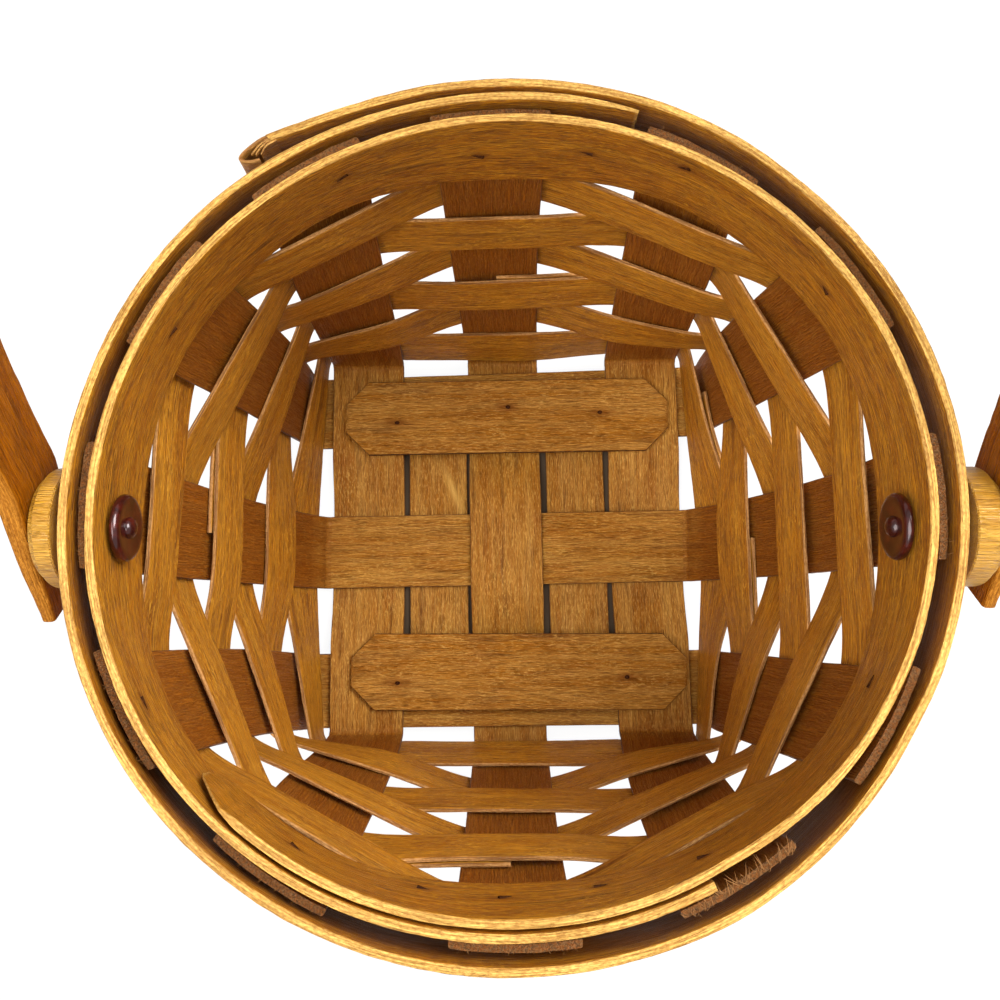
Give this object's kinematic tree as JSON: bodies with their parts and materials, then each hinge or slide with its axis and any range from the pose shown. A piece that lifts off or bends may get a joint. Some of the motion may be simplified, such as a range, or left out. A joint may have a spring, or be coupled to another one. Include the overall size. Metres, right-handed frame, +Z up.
{
  "type": "woven measuring basket",
  "caption": "Small woven splint basket with a square base, a round rim between bent bands and a swinging wooden handle.",
  "frame": {"origin": "middle of the base's underside, on the surface that the basket stands on", "axes": "+Z up; +X from the left handle rivet to the right one; +Y towards the back wall, to which the handle leans"},
  "size_m": [0.1563, 0.1654, 0.1806],
  "materials": {
    "splint_wood": "stained, satin",
    "weaver_wood": "stained, satin",
    "band_wood": "stained, satin, worn edges",
    "batten_wood": "stained, worn",
    "tack_iron": "dark, aged",
    "spacer_wood": "pale end grain, satin",
    "rivet_bronze": "dark, aged",
    "handle_wood": "stained, satin"
  },
  "bodies": {
    "basket": {"splint_y_left": "splint_wood", "splint_y_middle": "splint_wood", "splint_y_right": "splint_wood", "splint_x_back": "splint_wood", "splint_x_middle": "splint_wood", "splint_x_front": "splint_wood", "base_filler_left": "splint_wood", "base_filler_right": "splint_wood", "weaver_row_1": "weaver_wood", "weaver_row_2": "weaver_wood", "weaver_row_3": "weaver_wood", "weaver_row_4": "weaver_wood", "weaver_row_5": "weaver_wood", "weaver_row_6": "weaver_wood", "rim_band_inner": "band_wood", "rim_band_outer": "band_wood", "rim_end_strip": "band_wood", "base_batten_back": "batten_wood", "base_batten_front": "batten_wood", "rim_tack_01": "tack_iron", "rim_tack_02": "tack_iron", "rim_tack_03": "tack_iron", "rim_tack_04": "tack_iron", "rim_tack_05": "tack_iron", "rim_tack_06": "tack_iron", "rim_tack_07": "tack_iron", "rim_tack_08": "tack_iron", "rim_tack_09": "tack_iron", "rim_tack_10": "tack_iron", "rim_tack_11": "tack_iron", "rim_tack_12": "tack_iron", "rim_tack_13": "tack_iron", "batten_tack_1": "tack_iron", "batten_tack_2": "tack_iron", "batten_tack_3": "tack_iron", "batten_tack_4": "tack_iron", "batten_tack_5": "tack_iron", "handle_spacer_left": "spacer_wood", "handle_spacer_right": "spacer_wood", "rivet_burr_left": "rivet_bronze", "rivet_burr_right": "rivet_bronze", "handle_rivet_left": "rivet_bronze", "handle_rivet_right": "rivet_bronze"},
    "handle": {"handle": "handle_wood"}
  },
  "joints": [
    {"name": "handle_swing", "type": "hinge", "parent": "basket", "child": "handle", "pos_m": [0, -0.0032, 0.0999], "axis": [-1, 0, 0], "range_deg": [-172, 68]}
  ]
}
